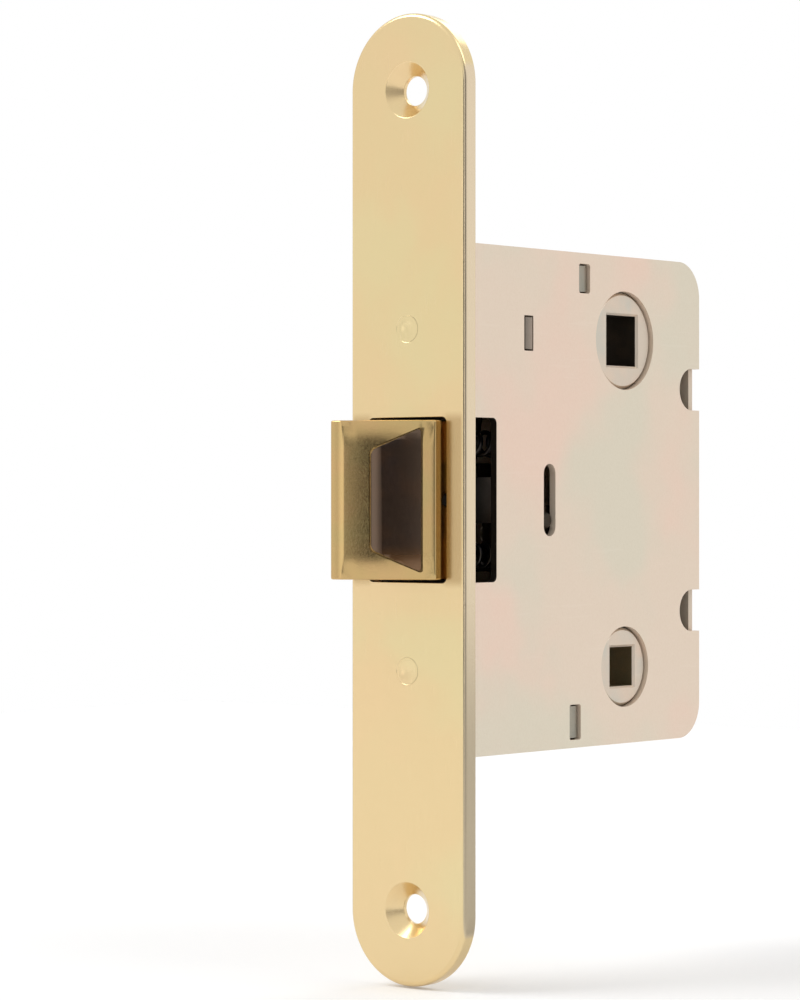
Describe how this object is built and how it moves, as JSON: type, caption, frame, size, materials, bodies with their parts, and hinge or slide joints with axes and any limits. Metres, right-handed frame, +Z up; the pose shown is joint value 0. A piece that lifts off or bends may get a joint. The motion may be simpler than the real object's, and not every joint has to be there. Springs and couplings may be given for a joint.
{
  "type": "mortise lock",
  "caption": "Upright mortise lock: round-ended brass faceplate, sprung bevelled latch, sheet steel case, square lever follower and privacy turn.",
  "frame": {"origin": "centre of the faceplate's front face, in the latch opening", "axes": "-Y out of the door's edge, +Y into the door, +X towards the case's cover, +Z up"},
  "size_m": [0.025, 0.0843, 0.165],
  "materials": {
    "brass": "satin, lacquered",
    "latch_brass": "sintered, slightly dark",
    "zinc_plate": "zinc plated with a faint passivate tint",
    "oiled_steel": "stamped or turned, dark with oil",
    "spring_steel": "drawn wire, oiled",
    "dark_steel": "blackened",
    "black_nylon": "moulded, glossy"
  },
  "bodies": {
    "case": {"faceplate": "brass", "faceplate_rivet_upper": "brass", "faceplate_rivet_lower": "brass", "case_tray": "zinc_plate", "case_cover": "zinc_plate", "spacer_pillar_upper": "oiled_steel", "spacer_pillar_lower": "oiled_steel", "crank_post": "oiled_steel", "crank_clip": "spring_steel", "spring_bridge": "oiled_steel", "latch_spring_upper": "spring_steel", "latch_spring_lower": "spring_steel", "return_spring": "spring_steel", "snib_spring": "spring_steel", "detent_spring": "spring_steel"},
    "lever_follower": {"follower": "zinc_plate"},
    "crank": {"retractor_crank": "oiled_steel"},
    "yoke": {"retractor_yoke": "oiled_steel"},
    "latch": {"latch_head": "latch_brass", "latch_insert": "black_nylon", "latch_tail": "oiled_steel", "tail_pin": "oiled_steel", "tail_rivet": "oiled_steel"},
    "privacy_turn_hub": {"privacy_hub": "zinc_plate"},
    "snib": {"snib_slide": "oiled_steel", "snib_pin": "dark_steel"}
  },
  "joints": [
    {"name": "follower_turn", "type": "hinge", "parent": "case", "child": "lever_follower", "pos_m": [0, 0.05, 0.0285], "axis": [-1, 0, 0], "range_deg": [0, 35], "stiffness_Nm_per_rad": 0.12, "springref_deg": -20.05, "deforming": ["return_spring"]},
    {"name": "crank_turn", "type": "hinge", "parent": "case", "child": "crank", "pos_m": [0, 0.027, 0.0288], "axis": [1, 0, 0], "range_deg": [0, 26]},
    {"name": "yoke_slide", "type": "slide", "parent": "case", "child": "yoke", "axis": [0, 1, 0], "range_m": [0, 0.0111]},
    {"name": "latch_press", "type": "slide", "parent": "yoke", "child": "latch", "axis": [0, 1, 0], "range_m": [0, 0.0108], "stiffness_N_per_m": 500, "springref_m": -0.006, "deforming": ["latch_spring_upper", "latch_spring_lower"]},
    {"name": "privacy_turn", "type": "hinge", "parent": "case", "child": "privacy_turn_hub", "pos_m": [0, 0.05, -0.0298], "axis": [1, 0, 0], "range_deg": [0, 90], "deforming": ["detent_spring", "snib_spring"]},
    {"name": "snib_slide_lift", "type": "slide", "parent": "case", "child": "snib", "axis": [0, 0, 1], "range_m": [0, 0.0071]}
  ],
  "couplings": [
    {"joint": "crank_turn", "follows": "follower_turn", "ratio": 0.74286},
    {"joint": "yoke_slide", "follows": "follower_turn", "m_per_rad": 0.018171},
    {"joint": "snib_slide_lift", "follows": "privacy_turn", "m_per_rad": 0.00452}
  ]
}
